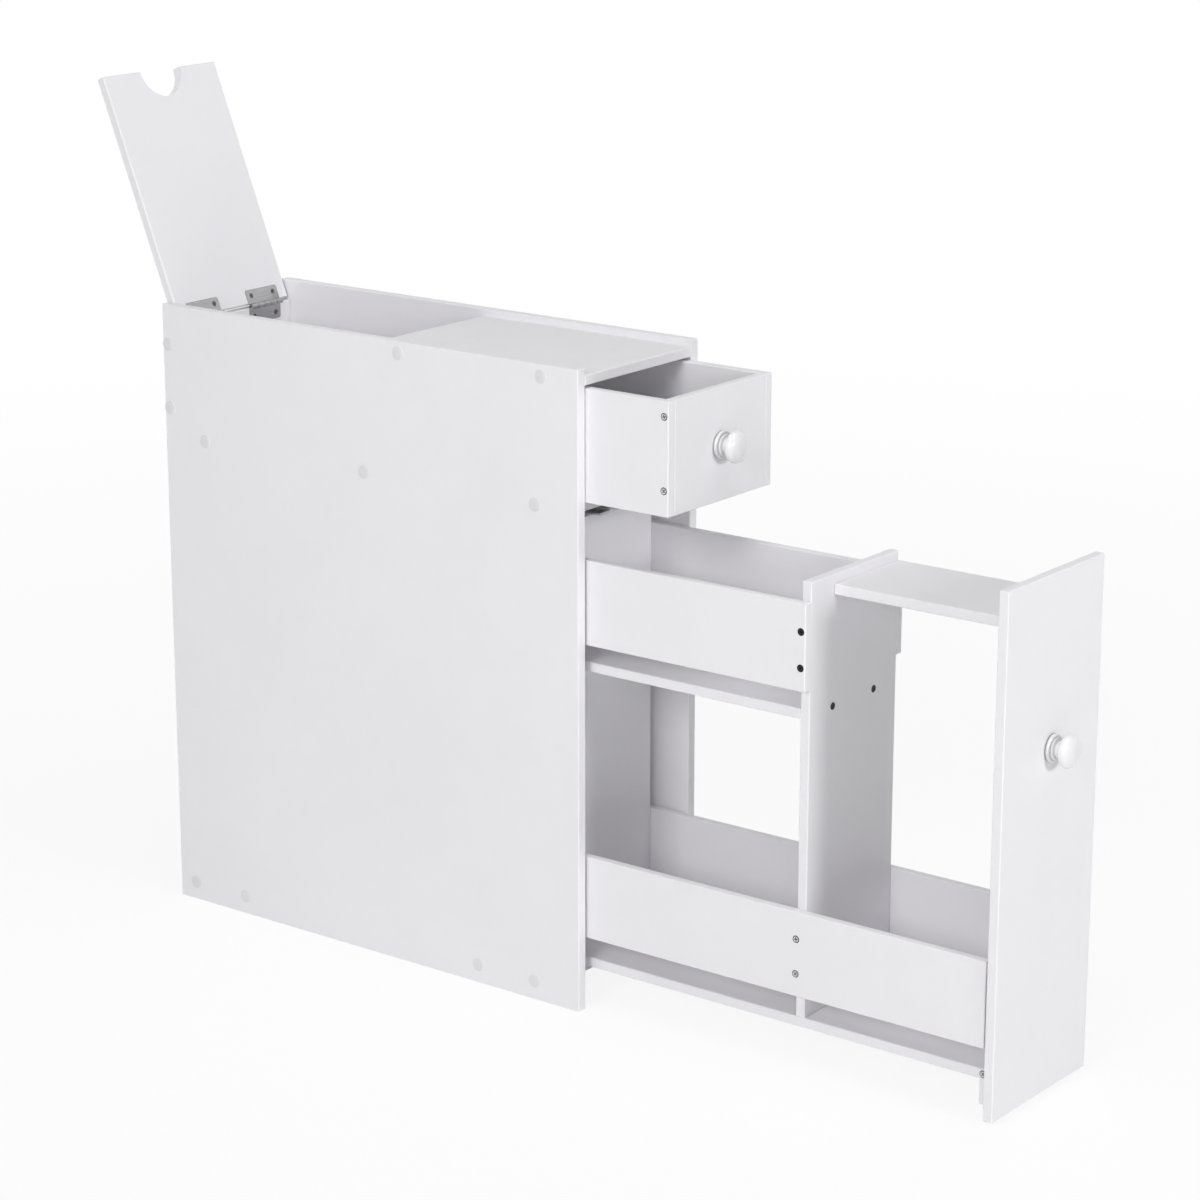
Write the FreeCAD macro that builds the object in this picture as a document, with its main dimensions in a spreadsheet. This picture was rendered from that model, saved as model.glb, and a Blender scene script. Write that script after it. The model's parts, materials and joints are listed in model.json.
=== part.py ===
import FreeCAD, Part
import os
import re

import Sketcher

# Sizes that can be set by themselves, in millimetres and degrees.
SIZES = {
    # carcass
    "carcass_width": 172,
    "carcass_depth": 487,
    "carcass_height": 580,
    "side_thickness": 10,
    "board_thickness": 9,
    "edge_ease": 0.7,
    "top_recess": 6,
    "drawer_bay_height": 104,
    "shelf_setback": 9.5,
    "back_inset": 2,
    "base_lift": 13,
    "base_board_depth": 95,
    "base_rear_setback": 5,
    "base_front_setback": 35,
    "partition_lap": 4,
    # cover caps
    "cap_radius": 6.2,
    "cap_rim": 0.4,
    "cap_height": 0.9,
    "cap_top_radius": 5.2,
    "back_cap_drop": 18,
    "back_cap_rise": 22,
    "shelf_rear_cap_inset": 48,
    "shelf_front_cap_inset": 37.5,
    "top_rear_cap_inset": 35,
    "top_front_cap_inset": 40,
    "base_cap_inset": 15,
    # lid and hinges
    "lid_open": 112,
    "lid_reach": 237,
    "lid_heel": 3,
    "lid_side_gap": 2.3,
    "lid_rest_gap": 0.3,
    "lid_stop_gap": 0.3,
    "lid_front_gap": 1.5,
    "notch_radius": 26,
    "hinge_length": 42,
    "hinge_side_inset": 12.7,
    "knuckle_gap": 0.5,
    "knuckle_radius": 2.6,
    "leaf_thickness": 1.2,
    "leaf_start": 3,
    "leaf_reach": 16.4,
    "leaf_corner_radius": 2.4,
    "hinge_pin_radius": 1.25,
    "hinge_pin_play": 0.05,
    "hinge_screw_inset": 6.3,
    "hinge_screw_reach": 10.4,
    "hinge_screw_radius": 1.4,
    "hinge_head_radius": 2.4,
    "hinge_screw_length": 7.5,
    # drawer
    "drawer_open_share": 0.435,
    "drawer_rear_gap": 9.4,
    "drawer_low_gap": 2,
    "drawer_high_gap": 2.5,
    "front_gap": 0.8,
    "drawer_floor_thickness": 6,
    "drawer_screw_low": 22.6,
    "drawer_screw_spacing": 63.7,
    # pull-out frame
    "pullout_open_share": 0.986,
    "pullout_rear_gap": 24.2,
    "pullout_toe_gap": 4,
    "pullout_lap": 3.4,
    "frame_top_gap": 23.5,
    "rear_panel_rise": 8,
    "rail_gap": 2.5,
    "rail_thickness": 8,
    "rail_height": 76,
    "rail_end_gap": 2.2,
    "upper_rail_rise": 17.3,
    "lower_rail_rise": 21.4,
    "rail_screw_low": 20.4,
    "rail_screw_spacing": 31.2,
    "roll_bay_depth": 183.5,
    "tray_drop": 110,
    "shelf_inset": 33.5,
    "shelf_drop": 8.5,
    "batten_thickness": 11,
    "batten_height": 23.6,
    "batten_end_gap": 2,
    "tray_screw_inset": 34.5,
    "floor_screw_inset": 6.5,
    # wood screws
    "screw_radius": 2,
    "screw_head_radius": 3.5,
    "screw_length": 28,
    "screw_proud": 0.25,
    # knobs
    "knob_radius": 14.2,
    "knob_length": 23,
    "pullout_knob_drop": 147.4,
    "knob_screw_radius": 1.8,
    "knob_screw_bite": 11,
    "knob_screw_head_radius": 4.2,
    "knob_screw_head_height": 2.4,
    "knob_hole_radius": 2.2,
    # telescopic slides
    "slide_width": 45,
    "slide_depth": 14,
    "slide_rise": 10.5,
    "slide_wall": 1.2,
    "slide_bend": 1.5,
    "slide_lip": 3.7,
    "slide_play": 0.35,
    "drawer_slide_setback": 17,
    "drawer_slide_rear_gap": 5,
    "pullout_slide_rear_gap": 27,
    # top guide of the pull-out
    "guide_width": 28,
    "guide_rise": 10,
    "guide_lip": 7,
    "guide_wall": 1.2,
    "guide_bend": 1.5,
    "guide_play": 0.4,
    "guide_rear_gap": 4,
    "guide_front_gap": 13,
    "slider_length": 35,
    "slider_rear_reach": 18,
    "bracket_width": 40,
    "bracket_wall": 2,
    "bracket_drop": 22,
}

# Places and lengths that follow from the sizes; lines run along Y, heights along Z.
PLACES = {
    "half_width": "carcass_width / 2",
    "inner_half": "half_width - side_thickness",
    "inner_width": "2 * inner_half",
    "top_height": "carcass_height - top_recess",
    "top_under": "top_height - board_thickness",
    "shelf_top": "top_under - drawer_bay_height",
    "shelf_under": "shelf_top - board_thickness",
    "base_top": "base_lift + board_thickness",
    # lid in its open pose
    "lid_under": "top_under + lid_rest_gap",
    "pin_height": "lid_under - knuckle_radius",
    "pin_depth": "back_inset + board_thickness + knuckle_radius",
    "lid_outer": "knuckle_radius + board_thickness",
    "lid_width": "inner_width - 2 * lid_side_gap",
    "lid_length": "lid_reach - lid_heel",
    "hinge_spacing": "lid_width - 2 * hinge_side_inset - hinge_length",
    "heel_back": "lid_outer * sin(lid_open) - lid_heel * cos(lid_open)",
    "heel_up": "lid_heel * sin(lid_open) + lid_outer * cos(lid_open)",
    "lid_end_back": "lid_outer * sin(lid_open) - (lid_reach - edge_ease) * cos(lid_open)",
    "back_height": "pin_height + heel_up - lid_stop_gap",
    # how far the drawer and the pull-out stand open
    "top_rear": "pin_depth + lid_reach + lid_front_gap",
    "partition_rear": "top_rear - lid_front_gap - partition_lap",
    "drawer_length": "carcass_depth - partition_rear - board_thickness - drawer_rear_gap",
    "drawer_slide_length": "drawer_length - drawer_slide_setback - drawer_slide_rear_gap",
    "drawer_out": "drawer_slide_length * drawer_open_share",
    "pullout_slide_length": "carcass_depth - base_front_setback - pullout_slide_rear_gap",
    "pullout_out": "pullout_slide_length * pullout_open_share",
    # middle of the whole photographed pose
    "front_reach": "carcass_depth + pullout_out + knob_length",
    "rear_line": "(front_reach - lid_end_back + pin_depth) / 2",
    "front_line": "rear_line - carcass_depth",
    "pin_line": "rear_line - pin_depth",
    "back_line": "rear_line - back_inset",
    "back_face_line": "back_line - board_thickness",
    "shelf_length": "carcass_depth - back_inset - shelf_setback",
    # drawer
    "drawer_low": "shelf_top + drawer_low_gap",
    "drawer_high": "top_under - drawer_high_gap",
    "drawer_tall": "drawer_high - drawer_low",
    "drawer_half": "inner_half - front_gap",
    "drawer_inner": "drawer_half - board_thickness",
    "drawer_floor": "shelf_top + slide_depth",
    "drawer_front_line": "front_line - drawer_out",
    "drawer_rear_line": "drawer_front_line + drawer_length",
    "drawer_knob_height": "(drawer_low + drawer_high) / 2",
    "drawer_slide_line": "front_line + drawer_slide_setback + drawer_slide_length",
    # pull-out frame
    "pullout_front_line": "front_line - pullout_out",
    "pullout_inner_line": "pullout_front_line + board_thickness",
    "pullout_length": "carcass_depth - pullout_rear_gap",
    "pullout_rear_line": "pullout_front_line + pullout_length",
    "frame_half": "inner_half - rail_gap - rail_thickness",
    "frame_width": "2 * frame_half",
    "frame_top": "shelf_under - frame_top_gap",
    "floor_under": "base_top + slide_depth",
    "floor_top": "floor_under + board_thickness",
    "floor_length": "pullout_length - board_thickness",
    "divider_line": "pullout_inner_line + roll_bay_depth",
    "divider_rear_line": "divider_line + board_thickness",
    "panel_tall": "frame_top - floor_top",
    "rear_panel_tall": "panel_tall + rear_panel_rise",
    "rear_panel_top": "floor_top + rear_panel_tall",
    "tray_top": "frame_top - tray_drop",
    "tray_length": "floor_length - roll_bay_depth - 2 * board_thickness",
    "upper_rail_length": "floor_length - roll_bay_depth",
    "lower_rail_length": "floor_length - rail_end_gap",
    "upper_rail_low": "tray_top + upper_rail_rise",
    "lower_rail_low": "floor_top + lower_rail_rise",
    "divider_middle": "upper_rail_length - board_thickness / 2",
    "front_top": "shelf_under + pullout_lap",
    "pullout_knob_height": "front_top - pullout_knob_drop",
    "batten_width": "frame_width - 2 * batten_end_gap",
    "front_tall": "front_top - pullout_toe_gap",
    "pullout_slide_line": "front_line + base_front_setback + pullout_slide_length",
    # nested slide members
    "slide_step": "slide_wall + slide_play",
    "middle_width": "slide_width - 2 * slide_step",
    "middle_rise": "slide_rise - 2 * slide_step",
    "inner_slide_width": "middle_width - 2 * slide_step",
    "inner_rise": "middle_rise - 2 * slide_step",
    "inner_tall": "slide_depth - 2 * slide_step",
    # guide
    "guide_low": "shelf_under - guide_rise",
    "guide_length": "carcass_depth - guide_rear_gap - guide_front_gap",
    "guide_step": "guide_wall + guide_play",
    "slider_foot": "guide_low - rear_panel_top - bracket_wall",
    "slider_width": "guide_width - 2 * guide_step",
    "neck_inset": "guide_lip + guide_play - guide_step",
    "bracket_reach": "slider_length - slider_rear_reach",
}

# Knob outline as shares of its radius and length, from the base to the top.
KNOB_OUTLINE_SHARES = [
    (0.86, 0.00), (0.86, 0.16), (0.69, 0.18), (0.69, 0.27), (0.54, 0.36), (0.62, 0.44), (0.91, 0.56),
    (1.00, 0.71), (0.91, 0.87), (0.62, 0.97), (0.30, 1.00),
]
# Small repeated pieces have few sides, so that they stay light.
SCREW_SIDES = 12
CAP_SIDES = 16
KNOB_SIDES = 32

ACROSS = FreeCAD.Vector(1, 0, 0)
BACKWARD = FreeCAD.Vector(0, 1, 0)
UPWARD = FreeCAD.Vector(0, 0, 1)

# How the local X, Y and Z of a board lie in the cabinet.
TURNS = {
    "flat": FreeCAD.Rotation(ACROSS, -BACKWARD, -UPWARD, "XYZ"),
    "upright": FreeCAD.Rotation(ACROSS, UPWARD, -BACKWARD, "XYZ"),
    "left": FreeCAD.Rotation(-BACKWARD, UPWARD, -ACROSS, "XYZ"),
    "right": FreeCAD.Rotation(BACKWARD, UPWARD, ACROSS, "XYZ"),
    "hung": FreeCAD.Rotation(-ACROSS, -UPWARD, -BACKWARD, "XYZ"),
}
SIGNS = {"left": "-1", "right": "1"}
TOLERANCE = 1e-6
WORD = re.compile(r"[a-z]+(?:_[a-z]+)+")

doc = FreeCAD.newDocument("cabinet")


def make_sheet(name, rows):
    """Fill a sheet with a name, a value and an alias in each row."""
    sheet = doc.addObject("Spreadsheet::Sheet", name)
    for row, (alias, value) in enumerate(rows.items(), 1):
        sheet.set(f"A{row}", alias)
        sheet.set(f"B{row}", value)
        sheet.setAlias(f"B{row}", alias)
    doc.recompute()
    return sheet


def bound(formula):
    """Give each name in a formula the sheet it stands in."""
    return WORD.sub(lambda m: ("sizes." if m[0] in SIZES else "places.") + m[0], formula)


sizes = make_sheet("sizes", {name: str(value) for name, value in SIZES.items()})
make_sheet("places", {
    name: "=" + WORD.sub(lambda m: "sizes." + m[0] if m[0] in SIZES else m[0], formula)
    for name, formula in PLACES.items()
})

nodes = []


def number(formula):
    """Value of a formula of sheet names."""
    return float(sizes.evalExpression(bound(formula)))


def place(part, turn, at):
    """Turn a part and tie its place to three formulas."""
    part.Placement = FreeCAD.Placement(FreeCAD.Vector(), turn)
    for axis, formula in zip("xyz", at):
        part.setExpression(f"Placement.Base.{axis}", bound(formula))


def new_body(label, turn, at):
    body = doc.addObject("PartDesign::Body", label)
    body.Label = label
    place(body, turn, at)
    nodes.append(body)
    return body


def new_sketch(body, plane="XY_Plane", offset="0"):
    """Sketch on one of the body's own planes, moved along its normal."""
    sketch = body.newObject("Sketcher::SketchObject", body.Label + "_sketch")
    origin = next(part for part in body.Origin.OriginFeatures if part.Role == plane)
    sketch.AttachmentSupport = [(origin, "")]
    sketch.MapMode = "FlatFace"
    if offset != "0":
        sketch.setExpression("AttachmentOffset.Base.z", bound(offset))
    return sketch


def tie_point(sketch, shape, point, x, y):
    """Hold a sketch point at the place two formulas give."""
    for kind, axis, formula in (("DistanceX", -2, x), ("DistanceY", -1, y)):
        if formula == "0":
            sketch.addConstraint(Sketcher.Constraint("PointOnObject", shape, point, axis))
        else:
            rule = Sketcher.Constraint(kind, -1, 1, shape, point, number(formula))
            index = sketch.addConstraint(rule)
            sketch.setExpression(f"Constraints[{index}]", bound(formula))


def outline(sketch, points):
    """Closed outline of straight lines through points given by formulas."""
    corners = [FreeCAD.Vector(number(x), number(y), 0) for x, y in points]
    after = corners[1:] + corners[:1]
    lines = [sketch.addGeometry(Part.LineSegment(a, b)) for a, b in zip(corners, after)]
    for line, following in zip(lines, lines[1:] + lines[:1]):
        sketch.addConstraint(Sketcher.Constraint("Coincident", line, 2, following, 1))
    for line, (x, y) in zip(lines, points):
        tie_point(sketch, line, 1, x, y)


def circle(sketch, x, y, radius):
    centre = FreeCAD.Vector(number(x), number(y), 0)
    shape = sketch.addGeometry(Part.Circle(centre, UPWARD, number(radius)))
    tie_point(sketch, shape, 3, x, y)
    index = sketch.addConstraint(Sketcher.Constraint("Radius", shape, number(radius)))
    sketch.setExpression(f"Constraints[{index}]", bound(radius))


def pad(body, sketch, length):
    feature = body.newObject("PartDesign::Pad", body.Label + "_pad")
    feature.Profile = sketch
    feature.setExpression("Length", bound(length))
    sketch.Visibility = False
    doc.recompute()
    return feature


def pocket(body, sketch):
    """Cut a sketch right through, towards the side its normal points to."""
    before = body.Shape.Volume
    feature = body.newObject("PartDesign::Pocket", body.Label + "_pocket")
    feature.Profile = sketch
    feature.Type = "ThroughAll"
    feature.Reversed = True
    sketch.Visibility = False
    doc.recompute()
    if body.Shape.Volume >= before:
        raise RuntimeError(body.Label + " pocket missed")
    return feature


def ease(body, base, edges, kind, size):
    """Chamfer or round some edges of a feature."""
    feature = body.newObject(f"PartDesign::{kind}", f"{body.Label}_{kind.lower()}")
    feature.Base = (base, [f"Edge{index}" for index in edges])
    feature.setExpression({"Chamfer": "Size", "Fillet": "Radius"}[kind], bound(size))
    doc.recompute()
    return feature


def straight_edges(shape):
    return [i for i, edge in enumerate(shape.Edges, 1) if edge.Curve.TypeId == "Part::GeomLine"]


def upright_edges(shape, corners):
    """Edges square to the sketch that stand at the given corners of its outline."""
    spots = [FreeCAD.Vector(number(x), number(y), 0) for x, y in corners]
    found = []
    for index, edge in enumerate(shape.Edges, 1):
        start, end = [FreeCAD.Vector(vertex.X, vertex.Y, 0) for vertex in edge.Vertexes]
        if start.isEqual(end, TOLERANCE) and any(start.isEqual(spot, TOLERANCE) for spot in spots):
            found.append(index)
    return found


def rectangle(width, height):
    return [("0", "0"), (width, "0"), (width, height), ("0", height)]


def board(label, turn, width, height, thickness, at, holes=()):
    """Flat board with eased edges and round holes."""
    body = new_body(label, TURNS[turn], at)
    sketch = new_sketch(body)
    outline(sketch, rectangle(width, height))
    for x, y, radius in holes:
        circle(sketch, x, y, radius)
    base = pad(body, sketch, thickness)
    ease(body, base, straight_edges(base.Shape), "Chamfer", "edge_ease")
    return body


def side_board(label, side, size, inner, rear, low):
    """Board at one side, from its rear end and its low edge, outward of an inner face."""
    length, height, thickness = size
    start = rear if side == "left" else f"{rear} - ({length})"
    return board(label, side, length, height, thickness, (f"{SIGNS[side]} * ({inner})", start, low))


def extrusion(label, points, length, at, turn="upright", bends=(), bend=None):
    """Straight bar with the cross-section the points give, rounded along some of its corners."""
    body = new_body(label, TURNS[turn], at)
    sketch = new_sketch(body)
    outline(sketch, points)
    bar = pad(body, sketch, length)
    if bends:
        ease(body, bar, upright_edges(bar.Shape, bends), "Fillet", bend)
    return body


def faceted(sections, sides):
    """Solid about Z with that many flat sides, through sections of a radius and a height."""
    rings = []
    for radius, height in sections:
        arm = FreeCAD.Vector(number(radius), 0, number(height))
        rings.append([FreeCAD.Rotation(UPWARD, 360 * i / sides).multVec(arm) for i in range(sides)])
    loops = [rings[0][::-1], rings[-1]]
    for low, high in zip(rings, rings[1:]):
        loops += [[low[i - 1], low[i], high[i], high[i - 1]] for i in range(sides)]
    faces = [Part.Face(Part.makePolygon(loop + loop[:1])) for loop in loops]
    return Part.Solid(Part.Shell(faces))


def solid_group(label, solid, spots, turn=None, at=("0", "0", "0")):
    """Copies of one turned solid, each with its base at a spot and its axis along a way."""
    copies = []
    for spot, way in spots:
        base = FreeCAD.Vector(*[number(formula) for formula in spot])
        copy = solid.copy()
        copy.Placement = FreeCAD.Placement(base, FreeCAD.Rotation(UPWARD, way))
        copies.append(copy)
    part = doc.addObject("Part::Feature", label)
    part.Label = label
    part.Shape = copies[0] if len(copies) == 1 else Part.makeCompound(copies)
    if turn:
        place(part, turn, at)
    nodes.append(part)
    return part


def sunk_screw(length, radius, head):
    """Screw with a flat head, from its tip at zero up to its head."""
    return faceted([(radius, "0"), (radius, f"{length} - ({head} - {radius})"), (head, length)], SCREW_SIDES)


def screw_spot(face, outward, x, y, z):
    """Tip and way of a wood screw whose head stands just proud of a face at x or y."""
    spot = {"x": x, "y": y, "z": z}
    spot[face] = f"{spot[face]} - ({outward}) * (screw_length - screw_proud)"
    ways = {"x": ACROSS, "y": BACKWARD}
    return (spot["x"], spot["y"], spot["z"]), ways[face] * float(outward)


# carcass sides
board_middle = "board_thickness / 2"
side_size = ("carcass_depth", "carcass_height", "side_thickness")
for side in SIGNS:
    side_board(f"{side}_side_panel", side, side_size, "inner_half", "rear_line", "0")

# boards between the sides
inner_left = "-1 * inner_half"
board("top_panel", "flat", "inner_width", "carcass_depth - top_rear", "board_thickness",
      (inner_left, "rear_line - top_rear", "top_height"))
board("mid_shelf", "flat", "inner_width", "shelf_length", "board_thickness",
      (inner_left, "back_line", "shelf_top"))
board("base_rear_board", "flat", "inner_width", "base_board_depth", "board_thickness",
      (inner_left, "rear_line - base_rear_setback", "base_top"))
board("base_front_board", "flat", "inner_width", "base_board_depth", "board_thickness",
      (inner_left, "front_line + base_front_setback + base_board_depth", "base_top"))
board("back_panel", "upright", "inner_width", "back_height - shelf_top", "board_thickness",
      (inner_left, "back_line", "shelf_top"))
board("compartment_partition", "upright", "inner_width", "top_under - shelf_top", "board_thickness",
      (inner_left, "rear_line - partition_rear", "shelf_top"))

# caps over the board screws, as depth from the rear and height
top_middle = f"top_under + {board_middle}"
shelf_middle = f"shelf_under + {board_middle}"
base_middle = f"base_lift + {board_middle}"
back_middle = f"back_inset + {board_middle}"
shelf_rear_cap = "back_inset + shelf_rear_cap_inset"
shelf_front_cap = "back_inset + shelf_length - shelf_front_cap_inset"
base_front = "carcass_depth - base_front_setback"
CAP_SPOTS = [
    (back_middle, "back_height - back_cap_drop"),
    (back_middle, "shelf_top + back_cap_rise"),
    (shelf_rear_cap, shelf_middle),
    (f"({shelf_rear_cap} + {shelf_front_cap}) / 2", shelf_middle),
    (shelf_front_cap, shelf_middle),
    ("top_rear + top_rear_cap_inset", top_middle),
    ("carcass_depth - top_front_cap_inset", top_middle),
    ("base_rear_setback + base_cap_inset", base_middle),
    ("base_rear_setback + base_board_depth - base_cap_inset", base_middle),
    (f"{base_front} - base_board_depth + base_cap_inset", base_middle),
    (f"{base_front} - base_cap_inset", base_middle),
]
cap = faceted([("cap_radius", "0"), ("cap_radius", "cap_rim"), ("cap_top_radius", "cap_height")], CAP_SIDES)
for side, sign in SIGNS.items():
    way = ACROSS * float(sign)
    solid_group(f"{side}_cover_caps", cap, [
        ((f"{sign} * half_width", f"rear_line - ({t})", z), way) for t, z in CAP_SPOTS
    ])

# lid, swung open about the hinge pins
lid_turn = FreeCAD.Rotation(ACROSS, 180 - number("lid_open"))


def swing(part):
    """Tie a part's turn to the angle the lid stands at."""
    part.setExpression("Placement.Rotation.Angle", bound("180 - lid_open"))


lid = new_body("lid_panel", lid_turn, ("-1 * lid_width / 2", "pin_line + heel_back", "pin_height + heel_up"))
swing(lid)
lid_sketch = new_sketch(lid)
outline(lid_sketch, rectangle("lid_width", "lid_length"))
lid_pad = pad(lid, lid_sketch, "board_thickness")
notch_sketch = new_sketch(lid)
circle(notch_sketch, "lid_width / 2", "lid_length", "notch_radius")
lid_cut = pocket(lid, notch_sketch)
ease(lid, lid_cut, straight_edges(lid_cut.Shape), "Chamfer", "edge_ease")

# hinges: each leaf lies along local Y from the pin, on the board at local Z zero
KNUCKLE_COUNT = 5
OWN_KNUCKLES = {"back": [0, 2, 4], "lid": [1, 3]}
HINGE_SCREWS = ["hinge_screw_inset", "hinge_length - hinge_screw_inset"]
knuckle_pitch = f"(hinge_length + knuckle_gap) / {KNUCKLE_COUNT}"
knuckle_length = f"{knuckle_pitch} - knuckle_gap"


def knuckle_start(index):
    return f"{index} * {knuckle_pitch}" if index else "0"


def leaf_outline(kind):
    """Plate whose tongues reach in to the pin at the leaf's own knuckles."""
    points = []
    for index in range(KNUCKLE_COUNT):
        start = knuckle_start(index)
        last = index == KNUCKLE_COUNT - 1
        end = "hinge_length" if last else f"{start} + {knuckle_length}"
        if index in OWN_KNUCKLES[kind]:
            tongue = [(start, "leaf_start"), (start, "0"), (end, "0"), (end, "leaf_start")]
            points += tongue[1 if index == 0 else 0:3 if last else 4]
        elif index == 0:
            points.append(("0", "leaf_start"))
        elif last:
            points.append(("hinge_length", "leaf_start"))
    return points + [("hinge_length", "leaf_reach"), ("0", "leaf_reach")]


def hinge_leaf(label, kind, turn, at):
    body = new_body(label, turn, at)
    sketch = new_sketch(body)
    outline(sketch, leaf_outline(kind))
    plate = pad(body, sketch, "leaf_thickness")
    corners = [("0", "leaf_reach"), ("hinge_length", "leaf_reach")]
    ease(body, plate, upright_edges(plate.Shape, corners), "Fillet", "leaf_corner_radius")
    for index in OWN_KNUCKLES[kind]:
        ring = new_sketch(body, "YZ_Plane", knuckle_start(index))
        circle(ring, "0", "knuckle_radius", "knuckle_radius")
        pad(body, ring, knuckle_length)
    bore = new_sketch(body, "YZ_Plane")
    circle(bore, "0", "knuckle_radius", "hinge_pin_radius + hinge_pin_play")
    pocket(body, bore)
    return body


leaf_back = "knuckle_radius * sin(lid_open)"
leaf_up = "knuckle_radius * cos(lid_open)"
hinge_screw = sunk_screw("hinge_screw_length", "hinge_screw_radius", "hinge_head_radius")
hinge_tip = "leaf_thickness + screw_proud - hinge_screw_length"
hinge_spots = []
for side, sign in SIGNS.items():
    low_x = f"{sign} * hinge_spacing / 2 - hinge_length / 2"
    high_x = f"{sign} * hinge_spacing / 2 + hinge_length / 2"
    hinge_leaf(f"{side}_hinge_back_leaf", "back", TURNS["hung"], (high_x, "back_face_line", "pin_height"))
    leaf = hinge_leaf(f"{side}_hinge_lid_leaf", "lid", lid_turn,
                      (low_x, f"pin_line + {leaf_back}", f"pin_height + {leaf_up}"))
    swing(leaf)
    pin = doc.addObject("Part::Cylinder", f"{side}_hinge_pin")
    pin.setExpression("Radius", bound("hinge_pin_radius"))
    pin.setExpression("Height", bound("hinge_length"))
    place(pin, FreeCAD.Rotation(UPWARD, ACROSS), (low_x, "pin_line", "pin_height"))
    nodes.append(pin)
    hinge_spots += [((f"{low_x} + {x}", "hinge_screw_reach", hinge_tip), UPWARD) for x in HINGE_SCREWS]
solid_group("hinge_back_screws", hinge_screw, hinge_spots, TURNS["hung"],
            ("0", "back_face_line", "pin_height"))
lid_screws = solid_group("hinge_lid_screws", hinge_screw, hinge_spots, lid_turn,
                         ("0", f"pin_line + {leaf_back}", f"pin_height + {leaf_up}"))
swing(lid_screws)

# drawer box
screw_spots = ["drawer_screw_low", "drawer_screw_low + drawer_screw_spacing"]
drawer_ends = [board_middle, f"drawer_length - {board_middle}"]
drawer_size = ("drawer_length", "drawer_tall", "board_thickness")
for side in SIGNS:
    side_board(f"drawer_{side}_side", side, drawer_size, "drawer_inner", "drawer_rear_line", "drawer_low")
drawer_left = "-1 * drawer_inner"
drawer_width = "2 * drawer_inner"
knob_hole = ("drawer_inner", "drawer_knob_height - drawer_low", "knob_hole_radius")
board("drawer_front", "upright", drawer_width, "drawer_tall", "board_thickness",
      (drawer_left, "drawer_front_line + board_thickness", "drawer_low"), [knob_hole])
board("drawer_back", "upright", drawer_width, "drawer_high - drawer_floor", "board_thickness",
      (drawer_left, "drawer_rear_line", "drawer_floor"))
board("drawer_bottom", "flat", drawer_width, "drawer_length - 2 * board_thickness",
      "drawer_floor_thickness",
      (drawer_left, "drawer_rear_line - board_thickness", "drawer_floor + drawer_floor_thickness"))
wood_screw = sunk_screw("screw_length", "screw_radius", "screw_head_radius")
solid_group("drawer_screws", wood_screw, [
    screw_spot("x", sign, f"{sign} * drawer_half", f"drawer_rear_line - ({t})", f"drawer_low + {z}")
    for sign in SIGNS.values() for t in drawer_ends for z in screw_spots
])

# pull-out frame
frame_left = "-1 * frame_half"
front_hole = ("drawer_half", "pullout_knob_height - pullout_toe_gap", "knob_hole_radius")
board("pullout_front", "upright", "2 * drawer_half", "front_tall", "board_thickness",
      ("-1 * drawer_half", "pullout_inner_line", "pullout_toe_gap"), [front_hole])
board("pullout_floor", "flat", "frame_width", "floor_length", "board_thickness",
      (frame_left, "pullout_rear_line", "floor_top"))
board("pullout_rear_panel", "upright", "frame_width", "rear_panel_tall", "board_thickness",
      (frame_left, "pullout_rear_line", "floor_top"))
tray_screw_spots = ["tray_screw_inset", "frame_width - tray_screw_inset"]
board("pullout_divider", "upright", "frame_width", "panel_tall", "board_thickness",
      (frame_left, "divider_rear_line", "floor_top"))
board("pullout_tray_floor", "flat", "frame_width", "tray_length", "board_thickness",
      (frame_left, "pullout_rear_line - board_thickness", "tray_top"))
board("pullout_top_shelf", "flat", "frame_width - shelf_inset", "roll_bay_depth", "board_thickness",
      (f"{frame_left} + shelf_inset", "divider_line", "frame_top - shelf_drop"))
board("pullout_batten", "upright", "batten_width", "batten_height", "batten_thickness",
      ("-1 * batten_width / 2", "pullout_inner_line + batten_thickness", "floor_under - batten_height"))
RAILS = {
    "upper": ("upper_rail_length", "upper_rail_low"),
    "lower": ("lower_rail_length", "lower_rail_low"),
}
rail_ends = [board_middle, "divider_middle"]
rail_screws = ["rail_screw_low", "rail_screw_low + rail_screw_spacing"]
rail_spots = []
for level, (length, low) in RAILS.items():
    for side, sign in SIGNS.items():
        side_board(f"pullout_{side}_{level}_rail", side, (length, "rail_height", "rail_thickness"),
                   "frame_half", "pullout_rear_line", low)
        rail_spots += [
            screw_spot("x", sign, f"{sign} * (frame_half + rail_thickness)",
                       f"pullout_rear_line - ({t})", f"{low} + {z}")
            for t in rail_ends for z in rail_screws
        ]
solid_group("pullout_rail_screws", wood_screw, rail_spots)
solid_group("pullout_floor_screws", wood_screw, [
    screw_spot("x", sign, f"{sign} * frame_half", "pullout_inner_line + floor_screw_inset",
               f"floor_under + {board_middle}")
    for sign in SIGNS.values()
])
solid_group("pullout_tray_screws", wood_screw, [
    screw_spot("y", "-1", f"{frame_left} + {x}", "divider_line", f"tray_top - {board_middle}")
    for x in tray_screw_spots
])

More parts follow.
